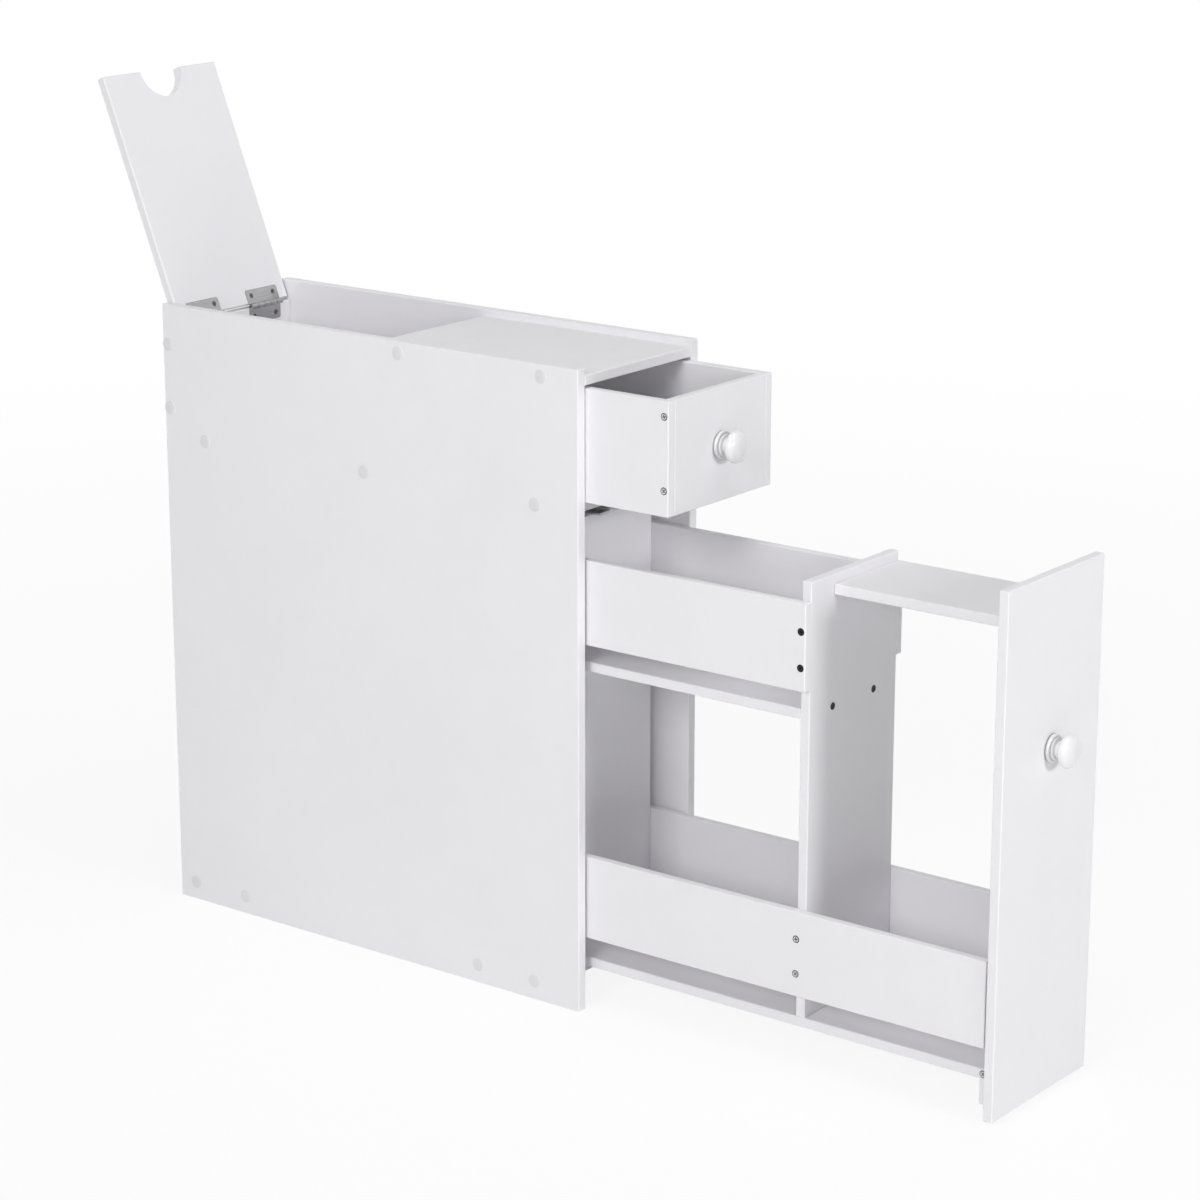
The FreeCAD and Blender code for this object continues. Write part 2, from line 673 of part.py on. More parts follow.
# knobs and the screws that hold them
knob = faceted([(f"knob_radius * {r}", f"knob_length * {d}") for r, d in KNOB_OUTLINE_SHARES], KNOB_SIDES)
knob_screw = faceted([
    ("knob_screw_head_radius", "0"),
    ("knob_screw_head_radius", "knob_screw_head_height"),
    ("knob_screw_radius", "knob_screw_head_height"),
    ("knob_screw_radius", "knob_screw_head_height + board_thickness + knob_screw_bite"),
], SCREW_SIDES)
for name, line, height in (
    ("drawer", "drawer_front_line", "drawer_knob_height"),
    ("pullout", "pullout_front_line", "pullout_knob_height"),
):
    head_line = f"{line} + board_thickness + knob_screw_head_height"
    solid_group(f"{name}_knob", knob, [(("0", line, height), -BACKWARD)])
    solid_group(f"{name}_knob_screw", knob_screw, [(("0", head_line, height), -BACKWARD)])


# telescopic slides: three nested members of bent steel that share the travel
def channel(name, width, rise, length, at):
    """Member with lips that turn in at the top."""
    lip, wall = "slide_lip", "slide_wall"
    points = [
        ("0", "0"), (width, "0"), (width, rise), (f"{width} - {lip}", rise),
        (f"{width} - {lip}", f"{rise} - {wall}"), (f"{width} - {wall}", f"{rise} - {wall}"),
        (f"{width} - {wall}", wall), (wall, wall), (wall, f"{rise} - {wall}"),
        (lip, f"{rise} - {wall}"), (lip, rise), ("0", rise),
    ]
    extrusion(name, points, length, at, bends=rectangle(width, rise), bend="slide_bend")


wide = "inner_slide_width"
web = "slide_lip + slide_wall"
hat_outline = [
    ("0", "0"), (web, "0"), (web, "inner_tall - slide_wall"),
    (f"{wide} - ({web})", "inner_tall - slide_wall"), (f"{wide} - ({web})", "0"), (wide, "0"),
    (wide, "inner_rise"), (f"{wide} - slide_wall", "inner_rise"), (f"{wide} - slide_wall", "slide_wall"),
    (f"{wide} - slide_lip", "slide_wall"), (f"{wide} - slide_lip", "inner_tall"),
    ("slide_lip", "inner_tall"), ("slide_lip", "slide_wall"), ("slide_wall", "slide_wall"),
    ("slide_wall", "inner_rise"), ("0", "inner_rise"),
]
hat_bends = [
    ("0", "0"), (web, "0"), (f"{wide} - ({web})", "0"), (wide, "0"),
    (f"{wide} - slide_lip", "inner_tall"), ("slide_lip", "inner_tall"),
]
SLIDES = {
    "drawer": ("drawer_slide_length", "drawer_slide_line", "drawer_out", "shelf_top"),
    "pullout": ("pullout_slide_length", "pullout_slide_line", "pullout_out", "base_top"),
}
for name, (length, line, out, height) in SLIDES.items():
    channel(f"{name}_slide_outer", "slide_width", "slide_rise", length,
            ("-1 * slide_width / 2", line, height))
    channel(f"{name}_slide_middle", "middle_width", "middle_rise", length,
            ("-1 * middle_width / 2", f"{line} - {out} / 2", f"{height} + slide_step"))
    extrusion(f"{name}_slide_inner", hat_outline, length,
              (f"-1 * {wide} / 2", f"{line} - {out}", f"{height} + 2 * slide_step"),
              bends=hat_bends, bend="slide_bend")

# guide rail under the shelf, and the slider that runs in it
extrusion("pullout_top_rail", [
    ("0", "0"), ("guide_lip", "0"), ("guide_lip", "guide_wall"), ("guide_wall", "guide_wall"),
    ("guide_wall", "guide_rise - guide_wall"), ("guide_width - guide_wall", "guide_rise - guide_wall"),
    ("guide_width - guide_wall", "guide_wall"), ("guide_width - guide_lip", "guide_wall"),
    ("guide_width - guide_lip", "0"), ("guide_width", "0"), ("guide_width", "guide_rise"),
    ("0", "guide_rise"),
], "guide_length", ("-1 * guide_width / 2", "rear_line - guide_rear_gap", "guide_low"),
          bends=rectangle("guide_width", "guide_rise"), bend="guide_bend")
shoulder = "slider_foot + guide_step"
crown = "slider_foot + guide_rise - guide_step"
extrusion("pullout_guide_slider", [
    ("neck_inset", "0"), ("slider_width - neck_inset", "0"), ("slider_width - neck_inset", shoulder),
    ("slider_width", shoulder), ("slider_width", crown), ("0", crown), ("0", shoulder),
    ("neck_inset", shoulder),
], "slider_length", ("-1 * slider_width / 2", "pullout_rear_line + slider_rear_reach",
                     "rear_panel_top + bracket_wall"))
plate_length = "slider_rear_reach + bracket_reach"
extrusion("pullout_guide_bracket", [
    ("0", "bracket_drop"), ("slider_rear_reach - bracket_wall", "bracket_drop"),
    ("slider_rear_reach - bracket_wall", "0"), ("slider_rear_reach", "0"),
    ("slider_rear_reach", "bracket_drop"), (plate_length, "bracket_drop"),
    (plate_length, "bracket_drop + bracket_wall"), ("0", "bracket_drop + bracket_wall"),
], "bracket_width", ("bracket_width / 2", "pullout_rear_line + slider_rear_reach",
                     "rear_panel_top - bracket_drop"), "left")

doc.recompute()
for item in doc.Objects:
    if "Invalid" in item.State or "Error" in item.State:
        raise RuntimeError(item.Label + " failed")
for node in nodes:
    if node.Shape.isNull() or not node.Shape.isValid():
        raise RuntimeError(node.Label + " has no valid shape")

os.makedirs("parts", exist_ok=True)
for node in nodes:
    node.Shape.exportStep(f"parts/{node.Label}.step")
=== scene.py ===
import json
import math

import bpy
import numpy as np
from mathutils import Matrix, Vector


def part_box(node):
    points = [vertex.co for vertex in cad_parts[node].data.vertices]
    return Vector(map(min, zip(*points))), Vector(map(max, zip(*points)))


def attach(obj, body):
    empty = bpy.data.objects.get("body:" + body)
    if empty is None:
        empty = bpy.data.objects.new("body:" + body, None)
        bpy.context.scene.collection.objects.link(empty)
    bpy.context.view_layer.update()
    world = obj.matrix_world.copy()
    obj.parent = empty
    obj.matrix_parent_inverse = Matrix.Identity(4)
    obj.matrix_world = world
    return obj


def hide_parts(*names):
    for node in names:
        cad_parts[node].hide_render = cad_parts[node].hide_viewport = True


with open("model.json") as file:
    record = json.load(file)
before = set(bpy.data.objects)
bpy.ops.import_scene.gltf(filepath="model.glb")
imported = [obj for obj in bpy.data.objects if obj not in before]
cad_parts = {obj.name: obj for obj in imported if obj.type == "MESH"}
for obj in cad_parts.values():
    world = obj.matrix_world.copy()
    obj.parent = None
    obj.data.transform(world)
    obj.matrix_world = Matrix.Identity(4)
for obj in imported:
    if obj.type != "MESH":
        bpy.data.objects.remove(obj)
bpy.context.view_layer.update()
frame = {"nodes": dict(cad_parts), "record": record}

MM = 0.001
LEFTWARD, RIGHTWARD, FORWARD, BACKWARD = (-1, 0, 0), (1, 0, 0), (0, -1, 0), (0, 1, 0)
SIDEWAYS = (LEFTWARD, RIGHTWARD)

# Linear colours of the finishes.
LACQUER_WHITE = (0.80, 0.791, 0.817, 1)
CAP_WHITE = (0.715, 0.713, 0.73, 1)
GLAZE_WHITE = (0.755, 0.753, 0.765, 1)
NYLON_WHITE = (0.74, 0.74, 0.72, 1)
HINGE_STEEL = (0.42, 0.42, 0.43, 1)
SLIDE_STEEL = (0.56, 0.57, 0.59, 1)
SCREW_STEEL = (0.22, 0.22, 0.23, 1)
# Near black steel: painted shade for screws that sit deep in shaded sunk holes.
SHADE_PAINTED_STEEL = (0.045, 0.045, 0.048, 1)
PALE_STEEL = (0.66, 0.66, 0.68, 1)
# Linear colours of the floor and the backdrop.
FLOOR_PALE = (0.88, 0.88, 0.88, 1)
PAPER_WHITE = (1, 1, 1, 1)
# Point attribute of painted shade, which darkens the crevices, rims and recesses of the turned pieces.
PAINTED_SHADE_ATTRIBUTE = "painted_shade"
# Sides of the turned pieces.
KNOB_SIDES, SCREW_SIDES, CAP_SIDES, PIN_SIDES = 96, 48, 40, 32
# Places of a Mix node's colour sockets, whose names its other sockets share.
MIX_FIRST, MIX_SECOND, MIX_RESULT = 6, 7, 2


class Wire:
    """A value socket; operators on wires and numbers add Math nodes to its tree."""

    def __init__(self, nodes, socket):
        self.nodes = nodes
        self.socket = socket

    def maths(self, operation, first, second):
        """Math node of two wires or numbers."""
        return self.nodes.add("ShaderNodeMath", {"operation": operation}, {0: first, 1: second})

    def __add__(self, other):
        return self.maths("ADD", self, other)

    __radd__ = __add__

    def __sub__(self, other):
        return self.maths("SUBTRACT", self, other)

    def __rsub__(self, other):
        return self.maths("SUBTRACT", other, self)

    def __mul__(self, other):
        return self.maths("MULTIPLY", self, other)

    __rmul__ = __mul__


class Nodes:
    """The node tree of a material or a world, which grows by one node at a time."""

    def __init__(self, owner):
        owner.use_nodes = True
        self.owner = owner
        self.tree = owner.node_tree
        self.tree.nodes.clear()

    def add(self, kind, settings=(), sockets=(), out=0):
        """Add a node: its settings first, then the values or wires of its sockets."""
        node = self.tree.nodes.new(kind)
        for name, value in dict(settings).items():
            setattr(node, name, value)
        for name, value in dict(sockets).items():
            self.feed(node.inputs[name], value)
        return Wire(self, node.outputs[out] if node.outputs else None)

    def feed(self, socket, value):
        """Link a wire to a socket, or set the socket's own value."""
        if isinstance(value, Wire):
            self.tree.links.new(value.socket, socket)
        else:
            socket.default_value = value

    def seen(self):
        """One for what the camera sees straight, in gloss or through glass, and zero for
        scattered light."""
        names = ("Is Camera Ray", "Is Glossy Ray", "Is Transmission Ray")
        straight, gloss, through = [self.add("ShaderNodeLightPath", out=name) for name in names]
        return straight + gloss + through


class Paint(Nodes):
    """A material with a Principled shader at its end."""

    def __init__(self, name):
        super().__init__(bpy.data.materials.new(name))
        self.surface = self.add("ShaderNodeBsdfPrincipled")
        self.end(self.surface)
        self.place = self.add("ShaderNodeTexCoord", out="Object")

    def end(self, surface):
        """Make a shader the one that the material shows."""
        self.add("ShaderNodeOutputMaterial", {"is_active_output": True}, {0: surface})

    def set(self, **values):
        """Set shader sockets; underscores in the names stand for spaces."""
        for name, value in values.items():
            self.feed(self.surface.socket.node.inputs[name.replace("_", " ")], value)
        return self.owner

    def stretched(self, scale):
        """Object coordinates, scaled along each axis."""
        return self.add("ShaderNodeMapping", {}, {"Vector": self.place, "Scale": scale}, "Vector")

    def noise(self, scale, detail=3.0, rough=0.55, vector=None):
        """Cloudy noise about a half, on object coordinates or on a given vector."""
        sockets = {"Vector": vector or self.place, "Scale": scale, "Detail": detail, "Roughness": rough}
        return self.add("ShaderNodeTexNoise", {}, sockets, "Fac")

    def spread(self, value, low, high, start=0.0, end=1.0):
        """Carry a value from low..high to start..end, held at both ends."""
        names = ("Value", "From Min", "From Max", "To Min", "To Max")
        sockets = dict(zip(names, (value, low, high, start, end)))
        return self.add("ShaderNodeMapRange", {}, sockets)

    def mix(self, factor, first, second):
        """Mix of two colours."""
        sockets = {"Factor": factor, MIX_FIRST: first, MIX_SECOND: second}
        return self.add("ShaderNodeMix", {"data_type": "RGBA"}, sockets, MIX_RESULT)

    def bump(self, height, distance, strength=1.0, normal=None):
        """Normal of a relief with that height, laid over another one."""
        sockets = {"Height": height, "Distance": distance, "Strength": strength}
        if normal:
            sockets["Normal"] = normal
        return self.add("ShaderNodeBump", {}, sockets, "Normal")

    def painted_shade(self):
        """Painted shade in the crevices, rims and recesses of a turned piece, from nothing to one."""
        return self.add("ShaderNodeAttribute", {"attribute_name": PAINTED_SHADE_ATTRIBUTE}, out="Fac")


def shade(colour, factor):
    """A colour made lighter or darker."""
    return tuple(channel * factor for channel in colour[:3]) + (1,)


def lacquered_board(name, roughness, stipple):
    """Sprayed white lacquer on fibreboard: soft clouds, spray stipple and a few dust nibs."""
    paint = Paint(name)
    clouds = paint.spread(paint.noise(6.0, detail=4.0), 0.3, 0.7)
    stains = paint.spread(paint.noise(34.0, detail=5.0, rough=0.65), 0.45, 0.75)
    cells = paint.add("ShaderNodeTexVoronoi", {}, {"Vector": paint.place, "Scale": 70.0}, "Distance")
    nibs = paint.spread(cells, 0.0, 0.028, 1.0, 0.0)
    tone = paint.mix(clouds, shade(LACQUER_WHITE, 0.985), shade(LACQUER_WHITE, 1.012))
    tone = paint.mix(stains * 0.2, tone, shade(LACQUER_WHITE, 0.95))
    tone = paint.mix(nibs * 0.18, tone, shade(LACQUER_WHITE, 0.8))
    spray = paint.noise(780.0, detail=2.0)
    waves = paint.noise(55.0, detail=2.0)
    relief = paint.bump(waves, 0.22 * MM, 0.5, paint.bump(spray + nibs * 0.8, 0.06 * MM * stipple))
    gloss = roughness + (clouds - 0.5) * 0.06 + stains * 0.08
    return paint.set(Base_Color=tone, Roughness=gloss, Normal=relief, IOR=1.48)


def cap_plastic():
    """Moulded cover caps: pale plastic with a fine spark texture."""
    paint = Paint("cap_plastic")
    spark = paint.noise(1900.0, detail=2.0)
    haze = paint.spread(paint.noise(90.0), 0.35, 0.7)
    tone = paint.mix(haze, shade(CAP_WHITE, 0.97), CAP_WHITE)
    relief = paint.bump(spark, 0.04 * MM)
    return paint.set(Base_Color=tone, Roughness=0.46 + haze * 0.1, Normal=relief)


def white_glaze():
    """Glossy glaze over white, with faint waves, a few fine specks and shade in the crevices."""
    paint = Paint("white_glaze")
    waves = paint.noise(60.0, detail=2.0)
    specks = paint.spread(paint.noise(900.0, detail=1.0), 0.7, 0.8)
    tone = paint.mix(paint.spread(waves, 0.3, 0.7), shade(GLAZE_WHITE, 0.975), GLAZE_WHITE)
    tone = paint.mix(specks * 0.2, tone, shade(GLAZE_WHITE, 0.8))
    # Painted shade darkens the glaze in the crevices and under the flange.
    painted_shade = paint.painted_shade()
    tone = paint.mix(painted_shade, tone, shade(GLAZE_WHITE, 0.22))
    gloss = 0.06 + specks * 0.1 + painted_shade * 0.4
    relief = paint.bump(waves, 0.1 * MM, 0.5)
    return paint.set(Base_Color=tone, Roughness=gloss, Normal=relief, IOR=1.5)


def nylon():
    """Moulded nylon, milky, with rubbed streaks along the way it slides."""
    paint = Paint("nylon")
    rubs = paint.noise(1.0, vector=paint.stretched((900, 25, 900)))
    tone = paint.mix(paint.spread(rubs, 0.35, 0.7), shade(NYLON_WHITE, 0.93), NYLON_WHITE)
    return paint.set(Base_Color=tone, Roughness=0.36 + rubs * 0.2, Normal=paint.bump(rubs, 0.03 * MM))


def drawn_steel(name, colour, grain, roughness, spangle):
    """Zinc-plated steel: drawing lines along the grain, cloudy plating, a few dull spots and painted
    crevice shade.
    """
    paint = Paint(name)
    lines = paint.noise(1.0, detail=4.0, rough=0.6, vector=paint.stretched(grain))
    cloud = paint.spread(paint.noise(spangle, detail=4.0), 0.3, 0.7)
    spots = paint.spread(paint.noise(420.0, detail=2.0), 0.66, 0.8)
    tone = paint.mix(paint.spread(lines, 0.3, 0.7), shade(colour, 0.82), shade(colour, 1.12))
    tone = paint.mix(cloud * 0.35, tone, shade(colour, 0.78))
    tone = paint.mix(spots * 0.35, tone, shade(colour, 0.6))
    # Painted shade: the dark rims and recesses of the screw heads.
    tone = paint.mix(paint.painted_shade(), tone, shade(colour, 0.12))
    gloss = roughness + lines * 0.16 + spots * 0.2 - cloud * 0.05
    relief = paint.bump(lines, 0.03 * MM)
    return paint.set(Base_Color=tone, Roughness=gloss, Metallic=1.0 - spots * 0.15, Normal=relief)


SCREW_GRAIN, SCREW_SPANGLE = (900, 900, 900), 300.0
PAINTS = {
    "outer_board": lacquered_board("lacquered_outer_board", 0.34, 1.0),
    "inner_board": lacquered_board("lacquered_inner_board", 0.42, 1.4),
    "cap_plastic": cap_plastic(),
    "glazed_knob": white_glaze(),
    "nylon": nylon(),
    "hinge_steel": drawn_steel("plated_hinge_steel", HINGE_STEEL, (30, 1600, 1600), 0.14, 160.0),
    "slide_steel": drawn_steel("plated_slide_steel", SLIDE_STEEL, (1400, 12, 1400), 0.22, 70.0),
    "screw_steel": drawn_steel("plated_screw_steel", SCREW_STEEL, SCREW_GRAIN, 0.3, SCREW_SPANGLE),
    "shade_painted_screw": drawn_steel("shade_painted_screw_steel", SHADE_PAINTED_STEEL, SCREW_GRAIN, 0.3, SCREW_SPANGLE),
    "pale_screw": drawn_steel("pale_screw_steel", PALE_STEEL, SCREW_GRAIN, 0.34, SCREW_SPANGLE),
}
OUTER_BOARDS = {
    "left_side_panel", "right_side_panel", "top_panel", "lid_panel", "drawer_front", "pullout_front",
}


def paint_nodes():
    """Give every CAD node the finish of its slot in the record."""
    slots = {part["node"]: part["material_slot"] for part in frame["record"]["subparts"]}
    for node, obj in frame["nodes"].items():
        slot = slots[node]
        if slot == "white_board":
            slot = "outer_board" if node in OUTER_BOARDS else "inner_board"
        obj.data.materials.clear()
        obj.data.materials.append(PAINTS[slot])


def node_points(node):
    """Vertices of a CAD node, in metres."""
    mesh = frame["nodes"][node].data
    flat = np.empty(len(mesh.vertices) * 3, np.float32)
    mesh.vertices.foreach_get("co", flat)
    return flat.reshape(-1, 3).astype(float)


def node_box(node):
    """Lowest and highest corner of a CAD node, as arrays."""
    return [np.array(corner, float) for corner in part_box(node)]


def square_to(way):
    """Two unit vectors square to a way and to each other, as rows with it."""
    way = np.asarray(way, float) / np.linalg.norm(way)
    seed = np.array([0.0, 0.0, 1.0]) if abs(way[2]) < 0.9 else np.array([0.0, 1.0, 0.0])
    across = np.cross(seed, way)
    across /= np.linalg.norm(across)
    return np.stack([across, np.cross(way, across), way])


# Wider than the widest stud and narrower than the room between two.
STUD_REACH = 13 * MM


def studs(node, way):
    """Middle of the top of each stud of a CAD node, the studs' radius, and the rows of unit
    vectors that end with the way. Points within the stud reach of each other, seen along the
    way, are one stud."""
    basis = square_to(way)
    local = node_points(node) @ basis.T
    tops, radius = [], 0.0
    left = np.ones(len(local), bool)
    while left.any():
        first = local[left][0, :2]
        near = left & (np.linalg.norm(local[:, :2] - first, axis=1) < STUD_REACH)
        stud = local[near]
        middle = (stud.min(axis=0) + stud.max(axis=0))[:2] / 2
        tops.append([*middle, stud[:, 2].max()])
        radius = max(radius, np.linalg.norm(stud[:, :2] - middle, axis=1).max())
        left &= ~near
    return np.array(tops) @ basis, radius, basis


def lathe(profile, sides, painted_shade=None, relief=None):
    """Surface of revolution: the point at (i, j) is the i-th profile point turned by
    2 pi j / sides about Z. The profile starts and ends on the axis, and each end closes as a
    fan of triangles. A relief of x and y is added to the height of the points in its flat top.
    Gives the points, the faces and the painted shade of each point, which is that of its profile
    point, or in the relief its share of the full depth, so that a recess is painted dark as shade."""
    profile = np.asarray(profile, float)
    painted_shade = np.zeros(len(profile)) if painted_shade is None else np.asarray(painted_shade, float)
    angle = np.arange(sides) * 2 * math.pi / sides
    rows = profile[1:-1]
    x = rows[:, :1] * np.cos(angle)
    y = rows[:, :1] * np.sin(angle)
    z = np.repeat(rows[:, 1:], sides, axis=1)
    point_shade = np.repeat(painted_shade[1:-1, None], sides, axis=1)
    tip, tip_shade = profile[-1, 1], painted_shade[-1]
    if relief:
        flat = rows[:, 1] >= tip
        sunk = relief(x[flat], y[flat])
        z[flat] += sunk
        tip += relief(0.0, 0.0)
        point_shade[flat] = np.maximum(point_shade[flat], sunk / sunk.min())
        tip_shade = 1.0
    points = np.stack([x, y, z], axis=-1).reshape(-1, 3)
    points = np.concatenate([points, [[0, 0, profile[0, 1]], [0, 0, tip]]])
    i, j = np.meshgrid(np.arange(len(rows) - 1), np.arange(sides), indexing="ij")
    k = (j + 1) % sides
    low, high = i * sides, (i + 1) * sides
    quads = np.stack([low + j, low + k, high + k, high + j], axis=-1)
    ring = np.arange(sides)
    turn = (ring + 1) % sides
    top = (len(rows) - 1) * sides
    bottom_fan = np.stack([np.full(sides, len(points) - 2), turn, ring], axis=-1)
    top_fan = np.stack([np.full(sides, len(points) - 1), top + ring, top + turn], axis=-1)
    faces = quads.reshape(-1, 4).tolist() + bottom_fan.tolist() + top_fan.tolist()
    return points, faces, np.concatenate([point_shade.ravel(), [painted_shade[0], tip_shade]])


def placed(shape, basis, spot, angle=0.0):
    """A shape about Z, spun by an angle, with its axes laid along a basis and its zero at a spot."""
    points, faces, point_shade = shape
    c, s = math.cos(angle), math.sin(angle)
    spin = np.array([[c, s, 0], [-s, c, 0], [0, 0, 1]])
    return points @ spin @ basis + spot, faces, point_shade


def add_piece(name, shapes, paint, body, node, sharp=40):
    """One object from several shapes of points, faces and painted shade.
    It stands for a CAD node and rides on its body. Edges over the sharp angle stay hard."""
    all_points, faces, start = [], [], 0
    for points, shape_faces, _ in shapes:
        all_points.append(points)
        faces += [[index + start for index in face] for face in shape_faces]
        start += len(points)
    mesh = bpy.data.meshes.new(name)
    mesh.from_pydata(np.concatenate(all_points).tolist(), [], faces)
    mesh.polygons.foreach_set("use_smooth", np.ones(len(mesh.polygons), bool))
    mesh.set_sharp_from_angle(angle=math.radians(sharp))
    point_shade = np.concatenate([shape[2] for shape in shapes]).astype(np.float32)
    mesh.attributes.new(PAINTED_SHADE_ATTRIBUTE, "FLOAT", "POINT").data.foreach_set("value", point_shade)
    mesh.materials.append(PAINTS[paint])
    obj = bpy.data.objects.new(name, mesh)
    bpy.context.scene.collection.objects.link(obj)
    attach(obj, body)
    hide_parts(node)


def arc(centre, radii, start, end, count):
    """Points of an ellipse's arc in the profile plane, between two angles in degrees."""
    angle = np.radians(np.linspace(start, end, count))
    x = centre[0] + radii[0] * np.cos(angle)
    y = centre[1] + radii[1] * np.sin(angle)
    return np.stack([x, y], axis=-1)


def knob_profile(radius, length):
    """Turned knob: an undercut flange with a rounded rim, a bead on it, a neck, and a head whose
    section is a superellipse, (r / a) ** 2.3 + (z / b) ** 2.3 = 1. The neck runs straight from
    the waist to the head and is drawn in towards the waist by sin(pi s) ** 0.8 of the way.
    Painted shade lies under the flange and in the two grooves, as exp(-(d / width) ** 2) of the
    distance along the knob: the shadow where the flange meets the front, and shade in the grooves."""
    flange, bead, waist = 0.86 * radius, 0.69 * radius, 0.47 * radius
    seat = 0.76 * radius
    flange_top, bead_top = 0.17 * length, 0.28 * length
    rim = 0.06 * length
    under = np.array([[0, 0], [seat, 0], [flange, rim]])
    high_rim = arc((flange - rim, flange_top - rim), (rim, rim), 0, 90, 8)
    bead_half = (bead_top - flange_top) / 2
    bead_side = arc((bead - bead_half, flange_top + bead_half), (bead_half, bead_half), -80, 80, 10)
    squareness, head_start = 2.3, -0.6 * math.pi / 2
    power = 2 / squareness
    angle = np.linspace(head_start, math.pi / 2, 40)
    half = 0.29 * length
    head_r = radius * np.clip(np.cos(angle), 0, 1) ** power
    head_z = length - half + half * np.sign(np.sin(angle)) * np.abs(np.sin(angle)) ** power
    head = np.stack([head_r, head_z], axis=-1)
    share = np.linspace(0, 1, 16)[1:-1, None]
    neck = np.array([waist, bead_top]) * (1 - share) + head[0] * share
    dip = np.sin(math.pi * share[:, 0]) ** 0.8
    neck[:, 0] = neck[:, 0] * (1 - dip) + waist * dip
    profile = np.concatenate([under, high_rim, bead_side, neck, head])
    # Each groove's place, its width as a share of the length, and its painted shade.
    grooves = ((0, 0.05, 1.0), (flange_top, 0.012, 0.1), (bead_top, 0.015, 0.15))
    painted_shade = sum(
        amount * np.exp(-((profile[:, 1] - spot) / (width * length)) ** 2)
        for spot, width, amount in grooves
    )
    return profile, np.clip(painted_shade, 0, 1)


def add_knobs():
    """Turned knobs in the boxes of their CAD nodes."""
    for name in ("drawer", "pullout"):
        node = f"{name}_knob"
        low, high = node_box(node)
        profile, painted_shade = knob_profile((high[0] - low[0]) / 2, high[1] - low[1])
        base = np.array([low[0] + high[0], 2 * high[1], low[2] + high[2]]) / 2
        knob = placed(lathe(profile, KNOB_SIDES, painted_shade), square_to(FORWARD), base)
        add_piece(f"{name}_turned_knob", [knob], "glazed_knob", name, node, sharp=55)


def cross_recess(radius, depth):
    """Relief of a cross recess: depth times a smooth step of the distance into two crossed bars."""
    long, short, soft = 0.54 * radius, 0.13 * radius, 0.06 * radius

    def relief(x, y):
        one = np.maximum(np.abs(x) - long, np.abs(y) - short)
        two = np.maximum(np.abs(y) - long, np.abs(x) - short)
        inside = np.clip(0.5 - np.minimum(one, two) / (2 * soft), 0, 1)
        return -depth * inside * inside * (3 - 2 * inside)

    return relief


def flat_top(radius, count=22):
    """Rows of a flat top from its rim to its middle, at height zero."""
    rows = np.linspace(1, 0, count)[:, None] * radius
    return np.concatenate([rows, np.zeros_like(rows)], axis=1)


# Less than the sunk heads stand proud, since the boards under them are whole.
SUNK_RECESS = 0.2 * MM


def sunk_head(radius):
    """Countersunk screw head: a cone below, an eased rim with a ring of painted shade, and a cross
    recess in the flat top, painted dark as shade.
    """
    rim, thickness = 0.12 * radius, 0.46 * radius
    shade_from, shade_at = 0.66, 0.76
    under = [[0, -thickness], [0.5 * radius, -thickness], [radius, -rim]]
    top = flat_top(radius - rim)
    # A ring of painted shade round the rim of the top.
    ring = np.interp(top[:, 0] / radius, (shade_from, shade_at), (0, 1))
    painted_shade = np.concatenate([np.ones(len(under)), ring])
    relief = cross_recess(radius, SUNK_RECESS)
    return lathe(np.concatenate([under, top]), SCREW_SIDES, painted_shade, relief)


def pan_head(radius):
    """Pan head of a machine screw: a quarter ellipse from the side up to a flat top with a
    cross recess."""
    top, height = 0.66 * radius, 0.57 * radius
    crown = 0.7 * height
    under = [[0, -height], [radius, -height]]
    side = arc((top, -crown), (radius - top, crown), 0, 90, 9)[:-1]
    profile = np.concatenate([under, side, flat_top(top)])
    return lathe(profile, SCREW_SIDES, relief=cross_recess(0.85 * radius, 0.36 * radius))


# Turn between one screw's recess and the next, so that no two stand alike.
RECESS_TURN = 2.4


def add_screws(name, node, body, ways, head=sunk_head, paint="screw_steel", heights=(0, math.inf)):
    """Screw heads on the studs of a CAD node that lie between two heights."""
    shapes = []
    for way in ways:
        tops, radius, basis = studs(node, way)
        tops = tops[(tops[:, 2] > heights[0]) & (tops[:, 2] < heights[1])]
        shape = head(radius)
        shapes += [placed(shape, basis, top, RECESS_TURN * turn) for turn, top in enumerate(tops, 1)]
    add_piece(name, shapes, paint, body, node)


def add_caps():
    """Cover caps: a low dome, z = h (rim + (1 - rim) (1 - (r / R) ** 4)), on a short upright rim."""
    rim = 0.45
    for side, way in (("left", LEFTWARD), ("right", RIGHTWARD)):
        node = f"{side}_cover_caps"
        low, high = node_box(node)
        height = high[0] - low[0]
        tops, radius, basis = studs(node, way)
        r = np.linspace(radius, 0, 16)
        dome = np.stack([r, height * (rim + (1 - rim) * (1 - (r / radius) ** 4))], axis=-1)
        cap = lathe(np.concatenate([[[0, 0], [radius, 0]], dome]), CAP_SIDES)
        shapes = [placed(cap, basis, top - basis[2] * height) for top in tops]
        add_piece(f"{side}_domed_caps", shapes, "cap_plastic", "carcass", node)


